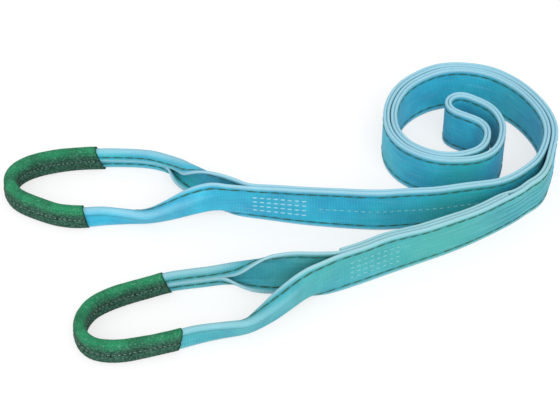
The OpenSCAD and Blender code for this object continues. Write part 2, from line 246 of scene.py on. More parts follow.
# %% Round the corners
SOFTEN = 5
S = np.arange(0.0, chain_run[-1], 1.0)
weights = np.exp(-0.5 * (np.arange(-4 * SOFTEN, 4 * SOFTEN + 1) / SOFTEN) ** 2)
weights /= weights.sum()


def soften(values):
    """A running average that leaves both ends where they are."""
    pad = 4 * SOFTEN
    before = 2 * values[0] - values[pad:0:-1]
    after = 2 * values[-1] - values[-2:-pad - 2:-1]
    return np.convolve(np.concatenate([before, values, after]), weights, "valid")


centre = np.stack([soften(np.interp(S, chain_run, chain[:, k])) for k in (0, 1)], 1)
side = left_of(centre)
print("stations:", len(S))

# %% [markdown]
# ## How the strip stands, leans and folds
# In the legs and the coil the strip stands on its edge. In each eye its two margins fold
# inwards, so that the bearing end is narrow and thick, and the folded part comes down to the
# floor. Each of these is a short table by distance along the eye from the front of the throat;
# folds are shares of a half turn, leans are degrees towards the viewer's side.

# %% Tables for the eyes
FOLD_LOW = {"eye_1": [[0, 0], [15, 0.12], [35, 0.6], [60, 1], [434, 1], [444, 0.8], [458, 0.45],
                      [474, 0.22], [495, 0.08], [532, 0]],
            "eye_2": [[0, 0], [15, 0.06], [40, 0.35], [75, 0.8], [100, 1], [437, 1], [450, 0.75],
                      [468, 0.42], [490, 0.2], [515, 0.05], [548, 0]]}
FOLD_UP = {"eye_1": [[0, 0], [18, 0.06], [40, 0.36], [70, 0.62], [95, 0.85], [120, 1], [440, 1],
                     [458, 0.92], [474, 0.64], [491, 0.3], [511, 0.08], [532, 0]],
           "eye_2": [[0, 0], [22, 0.06], [50, 0.34], [80, 0.66], [105, 0.9], [125, 1], [434, 1],
                     [448, 0.85], [464, 0.5], [482, 0.18], [510, 0.04], [548, 0]]}
MIDDLE_Z = {"eye_1": [[0, 25], [30, 24], [60, 20], [100, 15], [130, 13.6], [405, 13.6], [425, 15],
                      [442, 18.5], [458, 23], [478, 27], [500, 27], [532, 25]],
            "eye_2": [[0, 25], [30, 24.5], [60, 21], [100, 16], [140, 13.3], [365, 13.3],
                      [400, 17], [425, 20.5], [445, 25], [470, 28], [505, 28], [548, 25]]}
LEAN = {"eye_1": [[0, 10], [30, 12], [60, 20], [88, 34], [98, 36], [112, 28], [140, 8],
                  [170, 3], [400, 3], [430, 4], [452, 0], [480, -3], [505, 0], [532, 7]],
        "eye_2": [[0, 1], [30, 6], [60, 16], [100, 24], [130, 14], [155, 6], [200, 3],
                  [400, 3], [430, 2], [460, -4], [500, -5], [530, -2], [548, 1]]}
LEG_1_LEAN = [[0, 0], [150, 0], [251, 10]]
LEG_2_LEAN = [[0, 9], [50, 9], [125, 5], [170, 0], [217, 1]]

# %% [markdown]
# A margin folds about a crease: from the start of the crease the cloth turns through an arc, and
# past it the flap is straight again. In eye 1 the upper margin laps over the lower one, so its
# crease is wider. In eye 2 the two margins meet in the middle, and their edges overlap there by
# a millimetre or so.

# %% Creases, in millimetres from the middle of the strip
CREASE = {"eye_1": {"up": 7.0, "low": 9.5, "up_r": 3.0, "low_r": 2.0},
          "eye_2": {"up": 9.0, "low": 9.0, "up_r": 2.0, "low_r": 2.0}}
OPEN_ARC = 9.0
FOLDED_HALF = 13.0


def by_eye(table, rest):
    """A value at each station: the rest value, or inside an eye what its table says."""
    values = np.full(len(S), float(rest))
    for eye, points in table.items():
        low, high = SPAN[eye]
        inside = (S >= low) & (S <= high)
        at, value = np.array(points, float).T
        values[inside] = np.interp((S[inside] - low) / (high - low) * at[-1], at, value)
    return values


def crease_value(key):
    """One of the crease sizes at each station; the second half belongs to eye 2."""
    middle = sum(SPAN["leg_1_back"]) / 2
    return np.where(S < middle, CREASE["eye_1"][key], CREASE["eye_2"][key])


fold_low = soften(by_eye(FOLD_LOW, 0)) * math.pi
fold_up = soften(by_eye(FOLD_UP, 0)) * math.pi
middle_z = soften(by_eye(MIDDLE_Z, WEB_W / 2))
lean = by_eye(LEAN, 0)
for name, table, backwards in (("leg_1_front", LEG_1_LEAN, False), ("leg_1_back", LEG_1_LEAN, True),
                               ("leg_2_front", LEG_2_LEAN, False), ("leg_2_back", LEG_2_LEAN, True),
                               ("lap", LEG_2_LEAN, True)):
    low, high = SPAN[name]
    inside = (S >= low) & (S <= high)
    flex_end = high + (LAP_START if name == "leg_2_back" else 0)
    distance = flex_end - S[inside] if backwards else S[inside] - low
    at, value = np.array(table, float).T
    lean[inside] = np.interp(distance, at, value)
print("steepest lean:", lean.max(), "degrees")

# %% [markdown]
# The coil leans too: the strand that becomes leg 2 starts to tip before it leaves the coil, and
# the far wall stands open by a few degrees.

# %% Lean in the coil
TIP_RUN = 70
BACK_LEAN = -3.0
BACK_FROM, BACK_TO = 110, 180
for name, flex_at_end in (("coil_outer", True), ("coil_inner", False)):
    low, high = SPAN[name]
    inside = (S >= low) & (S <= high)
    to_leg_2 = high - S[inside] if flex_at_end else S[inside] - low
    tipping = np.clip(1 - to_leg_2 / TIP_RUN, 0, 1)
    opening = np.clip((centre[inside, 1] - BACK_FROM) / (BACK_TO - BACK_FROM), 0, 1)
    lean[inside] = LEG_2_LEAN[0][1] * tipping**2 * (3 - 2 * tipping) + BACK_LEAN * opening
lean = np.radians(soften(lean))

folding = np.maximum(fold_low, fold_up) / math.pi
foot = np.minimum(middle_z, WEB_W / 2 + (FOLDED_HALF - WEB_W / 2) * folding)
shift = crease_value("up_r") * fold_up / math.pi
print("stations that lean:", int((abs(lean) > 0.02).sum()))

# %% [markdown]
# Two functions now bend anything that was made flat. `stand` places a point that is given by its
# distance along the strip and by how far it is across and up from the middle. `bend` first folds
# the margins. Both take a touch of unevenness from slow waves in space, the same for pieces that
# touch, so that plies stay face to face.

# %% Place and bend
WAVES = [(0.22, 83, 61, 0.4), (0.12, 47, -57, 2.1)]
TOP_WAVES = [(0.25, 97, 75, 1.0), (0.12, -51, 62, 3.3)]


def waviness(x, y, waves):
    """A sum of slow waves over the floor: height, wavelengths along x and y, phase."""
    return sum(a * np.sin(2 * np.pi * (x / u + y / v) + phase) for a, u, v, phase in waves)


def at_station(s, values):
    return np.interp(s, S, values)


def stand(s, across, up):
    """Metres in the frame, from millimetres along, across and up from the strip's middle."""
    tilt, low = at_station(s, lean), at_station(s, foot)
    aside = across * at_station(s, side[:, 1])
    lift = up + low
    x = at_station(s, centre[:, 0]) + across * at_station(s, side[:, 0])
    y = at_station(s, centre[:, 1]) + aside * np.cos(tilt) - lift * np.sin(tilt)
    z = at_station(s, middle_z) - low + aside * np.sin(tilt) + lift * np.cos(tilt)
    share = np.clip(z / WEB_W, 0, 1)
    y = y + share * waviness(x, y, WAVES)
    z = z + share * waviness(x, y, TOP_WAVES)
    return np.stack([x, y, z], 1) * MM


def crease(past, arc, angle):
    """How far a flap goes sideways and along, and how far it has turned, past a crease's start."""
    past = np.maximum(past, 0)
    angle = np.maximum(angle, 1e-6)
    turned = angle * np.minimum(past, arc) / arc
    beyond = np.maximum(past - arc, 0)
    sideways = arc / angle * (1 - np.cos(turned)) + beyond * np.sin(turned)
    along = arc / angle * np.sin(turned) + beyond * np.cos(turned)
    return sideways, along, turned


def bend(s, w, n):
    """Metres in the frame, from millimetres along the strip, across its width and off its face."""
    up_from, low_from = at_station(s, crease_value("up")), at_station(s, crease_value("low"))
    turns = []
    for past, radius, fold in ((w - up_from, "up_r", fold_up), (-w - low_from, "low_r", fold_low)):
        angle = at_station(s, fold)
        full = np.pi * at_station(s, crease_value(radius))
        arc = OPEN_ARC + (full - OPEN_ARC) * angle / np.pi
        turns.append(crease(past, arc, angle))
    (side_up, along_up, turn_up), (side_low, along_low, turn_low) = turns
    across = at_station(s, shift) - side_up - side_low + n * np.cos(turn_up + turn_low)
    up = np.clip(w, -low_from, up_from) + along_up - along_low
    up = up + n * (np.sin(turn_up) - np.sin(turn_low))
    return stand(s, across, up)


# %% [markdown]
# ## The face of the webbing
# The weave is thicker in two firm edges, and each row of stitches pulls a shallow groove into
# the face. The plies are set a hair apart. This gives half the thickness of a ply at any place.

# %% Thickness of a ply
SEAM_W = WEB_W / 2 - 6
STITCH_PITCH = 12.0
PALE_PITCH = 7.0
THROAT_ROWS = [-9.75, -3.25, 3.25, 9.75]
THROAT_LEN = 56
ROW_CLEAR = 8
NEAR_COIL_CREASES = [(9.5, -0.02), (3.0, 0.03), (-5.0, 0.01), (-11.5, -0.02)]


def leg_distance(s, leg):
    """Distance from a leg's flex line, for both of its plies."""
    if leg == "leg_1":
        return np.minimum(abs(s - SPAN["leg_1_front"][0]), abs(s - SPAN["leg_1_back"][1]))
    return np.minimum(abs(s - SPAN["leg_2_front"][0]), abs(s - SPAN["lap"][1]))


def dip(w, at, width):
    return np.exp(-((w - at) / width) ** 2)


def near_coil(s):
    """How much of the long creases there is where leg 2 comes out of the coil."""
    return np.clip(1.4 - abs(leg_distance(s, "leg_2") - 5) / 60, 0, 1)


def half_thickness(s, w):
    edge = np.clip((abs(w) - (WEB_W / 2 - 1.5)) / 1.5, 0, 1)
    half = (PLY / 2 - 0.12) * np.sqrt(1 - 0.86 * edge**2)
    half = half + 0.08 * dip(abs(w), WEB_W / 2 - 2.2, 1.2)
    pull = 0.34 + 0.10 * np.cos(2 * np.pi * s / STITCH_PITCH)
    half = half - pull * dip(abs(w), SEAM_W, 1.0)
    from_flex = leg_distance(s, "leg_1")
    on_rows = np.clip((from_flex - 8) / 6, 0, 1) * (from_flex < 251)
    half = half - 0.16 * on_rows * dip(w, 0, 1.0)
    for at, slope in NEAR_COIL_CREASES:
        half = half - 0.4 * near_coil(s) * dip(w, at + slope * leg_distance(s, "leg_2"), 0.9)
    return half


# %% [markdown]
# ## Materials
# Polyester webbing is woven from bright filament yarn, so it has a soft sheen and fine ribs across
# its width. Its edges and the outside of each crease get a painted highlight, and its grooves and
# creases painted shade. Colours are written as sRGB hex values and turned linear in one place.
# One function adds a node with its settings.

# %% Colour and node helpers
def linear(hex_colour):
    """A linear colour with alpha, from an sRGB hex value."""
    channels = [int(hex_colour[i:i + 2], 16) / 255 for i in (1, 3, 5)]
    return [c / 12.92 if c <= 0.04045 else ((c + 0.055) / 1.055) ** 2.4 for c in channels] + [1.0]


def add(material, kind, inputs=None, **settings):
    """One node with its settings; an input is a value, or the output socket that feeds it."""
    made = material.node_tree.nodes.new("ShaderNode" + kind)
    for name, value in settings.items():
        setattr(made, name, value)
    for name, value in (inputs or {}).items():
        if isinstance(value, bpy.types.NodeSocket):
            material.node_tree.links.new(value, made.inputs[name])
        else:
            made.inputs[name].default_value = value
    return made


def new_material(name):
    """An empty material, and its output node."""
    material = bpy.data.materials.new(name)
    material.use_nodes = True
    material.node_tree.nodes.clear()
    return material, add(material, "OutputMaterial")


def mixed(material, factor, first, second, blend="MIX"):
    """The colour between two others, which are sockets or hex values."""
    pair = [c if isinstance(c, bpy.types.NodeSocket) else linear(c) for c in (first, second)]
    made = add(material, "Mix", {0: factor, 6: pair[0], 7: pair[1]}, data_type="RGBA",
               blend_type=blend)
    return made.outputs[2]


# %% [markdown]
# ### Woven polyester webbing
# A wave texture repeats every 2 pi / 20 units, so its scale follows from a pitch in metres. The
# ribs are really about 1 mm apart; they are drawn at 1.5 mm, the finest that shows. The map
# holds metres along and across the strip, so the weave turns with every bend and fold.

# %% Webbing
WAVE_PERIOD = 2 * math.pi / 20
RIB_PITCH = 1.5 * MM
YARN_PITCH = 1.1 * MM


def webbing(name, face, deep, pale, green, groove):
    material, output = new_material(name)
    spot = add(material, "TexCoord")
    place = add(material, "SeparateXYZ", {0: spot.outputs["UV"]})
    ribs = add(material, "TexWave", {"Vector": spot.outputs["UV"], "Scale": WAVE_PERIOD / RIB_PITCH,
               "Distortion": 1.2, "Detail": 1.0, "Detail Scale": 0.6}, bands_direction="X")
    yarns = add(material, "TexWave", {"Vector": spot.outputs["UV"],
                "Scale": WAVE_PERIOD / YARN_PITCH, "Distortion": 1.5, "Detail": 1.0},
                bands_direction="Y")
    weave = add(material, "Math", {0: ribs.outputs[1], 1: yarns.outputs[1]}, operation="MULTIPLY")
    stretched = add(material, "Mapping", {"Vector": spot.outputs["UV"], "Scale": (22, 420, 1)})
    streaks = add(material, "TexNoise", {"Vector": stretched.outputs[0], "Scale": 1.0,
                  "Detail": 2.0, "Roughness": 0.5})
    clouds = add(material, "TexNoise", {"Vector": spot.outputs["Object"], "Scale": 34.0,
                 "Detail": 4.0, "Roughness": 0.65})
    tints = add(material, "TexNoise", {"Vector": spot.outputs["Object"], "Scale": 9.0,
                "Detail": 1.0})
    body = mixed(material, add(material, "MapRange", {0: clouds.outputs[0], 1: 0.36, 2: 0.66})
                 .outputs[0], deep, face)
    body = mixed(material, add(material, "MapRange", {0: tints.outputs[0], 1: 0.50, 2: 0.72,
                 4: 0.65}).outputs[0], body, green)
    body = mixed(material, add(material, "MapRange", {0: streaks.outputs[0], 1: 0.52, 2: 0.80,
                 4: 0.20}).outputs[0], body, pale)
    # Painted highlight: the edges and the outside of each crease are mixed towards the pale colour.
    rubbed = add(material, "Attribute", attribute_name="rubbed")
    body = mixed(material, rubbed.outputs["Fac"], body, pale)
    body = mixed(material, add(material, "MapRange", {0: weave.outputs[0], 1: 0.35, 2: 0.95,
                 4: 0.32}).outputs[0], body, pale)
    body = mixed(material, add(material, "MapRange", {0: weave.outputs[0], 1: 0.20, 2: 0.0,
                 4: 0.30}).outputs[0], body, deep)
    # Painted shade: the seam grooves and the creases are mixed towards the groove colour.
    sunken = add(material, "Attribute", attribute_name="sunk")
    body = mixed(material, sunken.outputs["Fac"], body, groove)
    height = add(material, "Math", {0: weave.outputs[0], 1: clouds.outputs[0]}, operation="ADD")
    bump = add(material, "Bump", {"Strength": 0.55, "Distance": 0.35 * MM,
               "Height": height.outputs[0]})
    gloss = add(material, "MapRange", {0: streaks.outputs[0], 1: 0.3, 2: 0.7, 3: 0.66, 4: 0.52})
    shader = add(material, "BsdfPrincipled", {"Base Color": body, "Roughness": gloss.outputs[0],
                 "Sheen Weight": 0.06, "Specular IOR Level": 0.28,
                 "Normal": bump.outputs[0]})
    material.node_tree.links.new(shader.outputs[0], output.inputs[0])
    return material


blue_webbing = webbing("woven_polyester_blue",
                       "#18b4d0", "#0b97bb", "#a3c9d5", "#10a89c", "#0e6c80")
# The same webbing again, paler and greener, for the lap, leg 2 and eye 2: a painted lit copy that
# stands in for the stronger light on those faces.
pale_webbing = webbing("woven_polyester_rubbed",
                       "#3aa4ac", "#208e9e", "#9fc6cf", "#37a290", "#1b6a70")
print("webbing materials:", blue_webbing.name, pale_webbing.name)

# %% [markdown]
# ### Sewing thread
# The thread is twisted from two yarns. The twist is a slanting wave of 1 mm pitch, which shows
# as a slight change along each stitch.

# %% Thread
TWIST_PITCH = 1.0 * MM


def thread(name, light, dark):
    material, output = new_material(name)
    spot = add(material, "TexCoord")
    twist = add(material, "TexWave", {"Vector": spot.outputs["UV"],
                "Scale": WAVE_PERIOD / TWIST_PITCH, "Distortion": 0.6}, bands_direction="DIAGONAL")
    shade = add(material, "TexNoise", {"Vector": spot.outputs["Object"], "Scale": 180.0})
    body = mixed(material, twist.outputs[1], dark, light)
    body = mixed(material, add(material, "MapRange", {0: shade.outputs[0], 1: 0.4, 2: 0.7, 4: 0.5})
                 .outputs[0], body, dark)
    bump = add(material, "Bump", {"Strength": 0.5, "Distance": 0.2 * MM,
               "Height": twist.outputs[1]})
    shader = add(material, "BsdfPrincipled", {"Base Color": body, "Roughness": 0.55,
                 "Sheen Weight": 0.15, "Normal": bump.outputs[0]})
    material.node_tree.links.new(shader.outputs[0], output.inputs[0])
    return material


green_thread = thread("twisted_thread_green", "#11664a", "#0a3f30")
pale_thread = thread("twisted_thread_pale", "#b0d8e2", "#7dbccb")
worn_thread = thread("twisted_thread_faded", "#86c2c6", "#5aa5ab")
sleeve_thread = thread("twisted_thread_grey", "#628878", "#385d4f")
print("thread materials:", green_thread.name, pale_thread.name, sleeve_thread.name)

# %% [markdown]
# ### Sleeve cloth
# The sleeve is a coarse plain weave of heavy yarn. Two crossed waves of 1.5 mm make the over and
# under of the weave, dark in the holes, and a finer noise scatters the worn yarns.

# %% Sleeve cloth
CLOTH_PITCH = 1.5 * MM


def sleeve_cloth():
    material, output = new_material("coarse_woven_cloth")
    spot = add(material, "TexCoord")
    warp, weft = [add(material, "TexWave", {"Vector": spot.outputs["UV"], "Distortion": 3.0,
                      "Scale": WAVE_PERIOD / CLOTH_PITCH, "Detail": 2.0}, bands_direction=way)
                  for way in ("X", "Y")]
    over = add(material, "Math", {0: warp.outputs[1], 1: weft.outputs[1]}, operation="MULTIPLY")
    patches = add(material, "TexNoise", {"Vector": spot.outputs["Object"], "Scale": 60.0,
                  "Detail": 3.0, "Roughness": 0.6})
    specks = add(material, "TexNoise", {"Vector": spot.outputs["Object"], "Scale": 520.0,
                 "Detail": 2.0})
    body = mixed(material, add(material, "MapRange", {0: over.outputs[0], 1: 0.0, 2: 0.55})
                 .outputs[0], "#1f7350", "#2c9763")
    body = mixed(material, add(material, "MapRange", {0: patches.outputs[0], 1: 0.42, 2: 0.68,
                 4: 0.75}).outputs[0], body, "#1b5a40")
    body = mixed(material, add(material, "MapRange", {0: specks.outputs[0], 1: 0.55, 2: 0.72,
                 4: 0.55}).outputs[0], body, "#6b9c86")
    # Darker, greyer sides: dirt, and painted shade where the sides turn away from the light.
    soil = mixed(material, add(material, "MapRange", {0: specks.outputs[0], 1: 0.38, 2: 0.66})
                 .outputs[0], "#0c251c", "#3f6256")
    soiled = add(material, "Attribute", attribute_name="soiled")
    body = mixed(material, soiled.outputs["Fac"], body, soil)
    hem = add(material, "Attribute", attribute_name="hem")
    body = mixed(material, hem.outputs["Fac"], body, "#0f3329")
    height = add(material, "Math", {0: over.outputs[0], 1: specks.outputs[0]}, operation="ADD")
    bump = add(material, "Bump", {"Strength": 0.8, "Distance": 0.6 * MM,
               "Height": height.outputs[0]})
    shader = add(material, "BsdfPrincipled", {"Base Color": body, "Roughness": 0.85,
                 "Specular IOR Level": 0.2, "Normal": bump.outputs[0]})
    material.node_tree.links.new(shader.outputs[0], output.inputs[0])
    return material


green_cloth = sleeve_cloth()
print("sleeve material:", green_cloth.name)

# %% [markdown]
# ## Making a piece
# Every piece starts flat, in millimetres along, across and off the face, because that is how a
# sewer handles it. The flat shape also gives the map for the weave. Then one of the two
# functions bends it into place. `bend` has the strip's face on its left, so it mirrors a shape,
# and the faces are turned round again after it.

# %% Finish a flat piece
pieces = {}


def finish_piece(name, flat, material, slot, place, **marks):
    """A mesh object from a flat bmesh: bent by `place`, with its map, shading and material."""
    bmesh.ops.recalc_face_normals(flat, faces=flat.faces)
    mesh = bpy.data.meshes.new(name)
    flat.to_mesh(mesh)
    flat.free()
    co = np.empty(len(mesh.vertices) * 3)
    mesh.vertices.foreach_get("co", co)
    co = co.reshape(-1, 3)
    corner = np.empty(len(mesh.loops), int)
    mesh.loops.foreach_get("vertex_index", corner)
    layer = mesh.uv_layers.new(name="cloth")
    layer.data.foreach_set("uv", (co[corner, :2] * MM).ravel())
    for mark, amount in marks.items():
        attribute = mesh.attributes.new(mark, "FLOAT", "POINT")
        attribute.data.foreach_set("value", amount(*co.T).astype(np.float32))
    mesh.vertices.foreach_set("co", place(*co.T).ravel())
    if place is bend:
        mesh.flip_normals()
    mesh.shade_smooth()
    mesh.update()
    mesh.materials.append(material)
    piece = bpy.data.objects.new(name, mesh)
    bpy.context.collection.objects.link(piece)
    pieces[name] = piece
    return piece


# %% [markdown]
# ### A length of webbing
# A grid lies flat as one face of the ply. Extruding it gives the other face and the edges. Then
# each side moves out to the ply's own thickness. The square ends are kept sharp, so that two
# lengths that meet shade as one.

# %% Webbing between two distances
STEP = 2.2
ACROSS = 44


def flat_ply(low, high):
    flat = bmesh.new()
    steps = max(2, round((high - low) / STEP))
    bmesh.ops.create_grid(flat, x_segments=steps, y_segments=ACROSS, size=0.5,
                          matrix=Matrix.Translation(((low + high) / 2, 0, 0))
                          @ Matrix.Diagonal((high - low, WEB_W, 1, 1)))
    top = bmesh.ops.extrude_face_region(flat, geom=flat.faces[:], use_keep_orig=True)
    raised = {v for v in top["geom"] if isinstance(v, bmesh.types.BMVert)}
    for vert in flat.verts:
        vert.co.z = 1.0 if vert in raised else -1.0
    half = half_thickness(*np.array([v.co[:2] for v in flat.verts]).T)
    for vert, thick in zip(flat.verts, half):
        vert.co.z *= thick
    for edge in flat.edges:
        a, b = edge.verts
        edge.smooth = not (a.co.x == b.co.x and (a.co.x <= low + 0.01 or a.co.x >= high - 0.01))
    return flat


def worn(s, w, n):
    """Painted highlight, towards the pale colour: both edges, and the outside of each crease."""
    edge = 0.8 * np.clip((abs(w) - 21.0) / 2.5, 0, 1)
    crest = np.zeros(len(s))
    for start, radius, fold, way in (("up", "up_r", fold_up, 1), ("low", "low_r", fold_low, -1)):
        angle = at_station(s, fold) / np.pi
        middle = at_station(s, crease_value(start)) + np.pi / 2 * at_station(s, crease_value(radius))
        crest = crest + 0.65 * angle**1.6 * dip(way * w, middle, 3.2) * (n > 0)
    return np.clip(edge + crest, 0, 1)


def sunk(s, w, n):
    """Painted shade: darker in each seam's groove, in the creases near the coil, and just inside the
    upper crease of a folded eye.
    """
    dark = 0.75 * dip(abs(w), SEAM_W, 0.9)
    for at, slope in NEAR_COIL_CREASES:
        dark = dark + 0.7 * near_coil(s) * dip(w, at + slope * leg_distance(s, "leg_2"), 1.0)
    angle = at_station(s, fold_up) / np.pi
    return np.clip(dark + 0.6 * angle**3 * dip(w, at_station(s, crease_value("up")) - 1.0, 1.0), 0, 1)


def webbing_piece(name, low, high, material, slot, replaced):
    piece = finish_piece(name, flat_ply(low, high), material, slot, bend,
                         rubbed=worn, sunk=sunk)
    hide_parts(*replaced)
    return piece


# %% [markdown]
# ## The strip, cut into lengths
# A piece that bends at a joint may bend at one joint only, so the strip is divided between
# joints: inside the coil a little way up from each flex line, and half way along each leg.

# %% Lengths of webbing
UP_THE_COIL = 42
MID_LEG = 0.5
mid_1 = MID_LEG * run(leg_1)[-1]
mid_2 = MID_LEG * run(leg_2)[-1]
start_of = {name: span[0] for name, span in SPAN.items()}
end_of = {name: span[1] for name, span in SPAN.items()}
LENGTHS = {
    "webbing_lap": (0, end_of["lap"] + UP_THE_COIL, "pale", ["leg_2_lap_ply"]),
    "webbing_coil_inner": (end_of["lap"] + UP_THE_COIL, start_of["leg_1_front"] - UP_THE_COIL,
                           "blue", ["coil_inner_ply"]),
    "webbing_leg_1_front": (start_of["leg_1_front"] - UP_THE_COIL,
                            start_of["leg_1_front"] + mid_1, "blue", ["leg_1_front_ply"]),
    "webbing_eye_1": (start_of["leg_1_front"] + mid_1, end_of["leg_1_back"] - mid_1, "blue",
                      ["eye_1_web"]),
    "webbing_leg_1_back": (end_of["leg_1_back"] - mid_1, start_of["coil_outer"] + UP_THE_COIL,
                           "blue", ["leg_1_back_ply"]),
    "webbing_coil_outer": (start_of["coil_outer"] + UP_THE_COIL,
                           end_of["coil_outer"] - UP_THE_COIL, "blue", ["coil_outer_ply"]),
    "webbing_leg_2_front": (end_of["coil_outer"] - UP_THE_COIL, start_of["leg_2_front"] + mid_2,
                            "pale", ["leg_2_front_ply"]),
    "webbing_eye_2": (start_of["leg_2_front"] + mid_2, S[-1], "pale",
                      ["eye_2_web", "leg_2_back_ply"]),
}
FINISH = {"blue": (blue_webbing, "webbing_blue"), "pale": (pale_webbing, "webbing_pale")}
for name, (low, high, tone, replaced) in LENGTHS.items():
    webbing_piece(name, low, high, *FINISH[tone], replaced)
    print(f"{name}: {high - low:.0f} mm, {len(pieces[name].data.polygons)} faces")

# %% [markdown]
# ## Stitches
# Each stitch is a small flattened ball of a few dozen faces, made flat on the face of the ply
# and bent with it. It sits half in the groove that its thread pulls. A machine slants them all
# alike.

# %% A row of stitches
STITCH_TURN = math.radians(2.5)


def stitch_row(flat, low, high, w, face, length, pitch, width):
    """Add stitches to a flat bmesh, between two distances, on the face +1 or -1."""
    count = int((high - low) // pitch)
    first = low + (high - low - (count - 1) * pitch) / 2
    at = first + pitch * np.arange(count)
    half = half_thickness(at, np.full(count, w))
    for s, thick in zip(at, half):
        place = (Matrix.Translation((s, w, face * (thick + 0.08 * width)))
                 @ Matrix.Rotation(-face * STITCH_TURN, 4, "Z")
                 @ Matrix.Diagonal((length / 2, width / 2, 0.42 * width, 1)))
        bmesh.ops.create_uvsphere(flat, u_segments=8, v_segments=5, radius=1.0, matrix=place)


def stitches(name, rows, kind, place, replaced=()):
    """One piece from several rows: (from, to, w, face)."""
    material, slot, length, pitch, width = kind
    flat = bmesh.new()
    for low, high, w, face in rows:
        stitch_row(flat, low, high, w, face, length, pitch, width)
    piece = finish_piece(name, flat, material, slot, place)
    if replaced:
        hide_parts(*replaced)
    print(f"{name}: {len(piece.data.polygons)} faces")
    return piece


GREEN = (green_thread, "thread_green", 11.0, STITCH_PITCH, 1.7)
PALE = (pale_thread, "thread_pale", 5.2, PALE_PITCH, 1.5)
WORN = (worn_thread, "thread_pale", 4.6, PALE_PITCH, 1.3)

# %% [markdown]
# The edge seams run the whole length, 6 mm inside each edge. They show on the outer face of each
# ply, and on both faces of the single ply in an eye. The back ply of leg 2 is under the lap, so
# its seam isn't drawn.

# %% Edge seams
def edge_rows(name, w):
    """The rows of one seam on one length of webbing, on the faces that show."""
    low, high = LENGTHS[name][:2]
    if name not in ("webbing_eye_1", "webbing_eye_2"):
        return [(low, high, w, 1)]
    first, last = SPAN[name[-5:]]
    rows = [(low, first, w, 1), (first, last, w, 1), (first, last, w, -1)]
    return rows + [(last, high, w, 1)] if name == "webbing_eye_1" else rows


SEAMS = {
    "lap": (["webbing_lap"], []),
    "coil": (["webbing_coil_inner", "webbing_coil_outer"], ["coil_{}_seam"]),
    "leg_1": (["webbing_leg_1_front", "webbing_leg_1_back"], ["leg_1_{}_seam"]),
    "eye_1": (["webbing_eye_1"], []),
    "leg_2": (["webbing_leg_2_front"], ["leg_2_{}_seam"]),
    "eye_2": (["webbing_eye_2"], []),
}
for part, (lengths, replaced) in SEAMS.items():
    for edge, w in (("upper", SEAM_W), ("lower", -SEAM_W)):
        rows = [row for length in lengths for row in edge_rows(length, w)]
        stitches(f"{part}_{edge}_stitches", rows, GREEN, bend, [n.format(edge) for n in replaced])

# %% [markdown]
# Rows of pale thread close each throat and hold the lap, and one more runs along the middle of
# leg 1. Where the face rubs, the thread has worn down to nearly the colour of the webbing.

# %% Pale rows
leg_1_end, leg_2_end = run(leg_1)[-1], run(leg_2)[-1]
front_1, back_1 = start_of["leg_1_front"], end_of["leg_1_back"]
front_2 = start_of["leg_2_front"]
centre_to = leg_1_end - THROAT_LEN - 2 * ROW_CLEAR
stitches("leg_1_centre_stitches",
         [(front_1 + ROW_CLEAR, front_1 + centre_to, 0.0, 1),
          (back_1 - centre_to, back_1 - ROW_CLEAR, 0.0, 1)],
         WORN, bend, ["leg_1_centre_row"])
throat_from, throat_to = leg_1_end - ROW_CLEAR - THROAT_LEN, leg_1_end - ROW_CLEAR
stitches("leg_1_throat_stitches",
         [(front_1 + throat_from, front_1 + throat_to, w, 1) for w in THROAT_ROWS]
         + [(back_1 - throat_to, back_1 - throat_from, w, 1) for w in THROAT_ROWS],
         PALE, bend, ["leg_1_throat_stitching"])
stitches("leg_2_throat_stitches",
         [(front_2 + leg_2_end - ROW_CLEAR - THROAT_LEN, front_2 + leg_2_end - ROW_CLEAR, w, 1)
          for w in THROAT_ROWS], WORN, bend, ["leg_2_throat_stitching"])
stitches("lap_stitches", [(ROW_CLEAR, end_of["lap"] - LAP_START, w, 1) for w in THROAT_ROWS],
         PALE, bend, ["leg_2_lap_stitching"])

# %% [markdown]
# ## The wear sleeves
# A sleeve is a strip of cloth wrapped round the folded webbing and sewn to itself, so it starts
# as a tube. Its section is a rectangle with well rounded corners, half as thick and half as tall
# as the table says, and fuller at the bearing end. It fits tightly, and the folded webbing runs
# into its wall in places. The cloth doubles below the sewn line, which makes a step on both faces.

# %% A tube of cloth
SLEEVE_SPAN = {"eye_1": (156, 362), "eye_2": (169, 385)}
MOUTH_SLANT = {"eye_1": (-2, 4), "eye_2": (3, 4)}
SLEEVE_HALF = {"eye_1": (6.0, 13.9), "eye_2": (5.1, 13.4)}
SLEEVE_T = 0.9
AROUND = 96
SEAM_UP = 0.0
ROUNDNESS = 0.68
OUTLINE_POINTS = 801
SLEEVE_PITCH = 4.6
sweep = np.linspace(0, 2 * np.pi, 2001)


def rounded(turn, thick, tall):
    """A point on a rectangle with well rounded corners."""
    c, s = np.cos(turn), np.sin(turn)
    return thick * np.sign(c) * abs(c) ** ROUNDNESS, tall * np.sign(s) * abs(s) ** ROUNDNESS


outline_run = run(np.stack(rounded(sweep, 6, 13), 1))


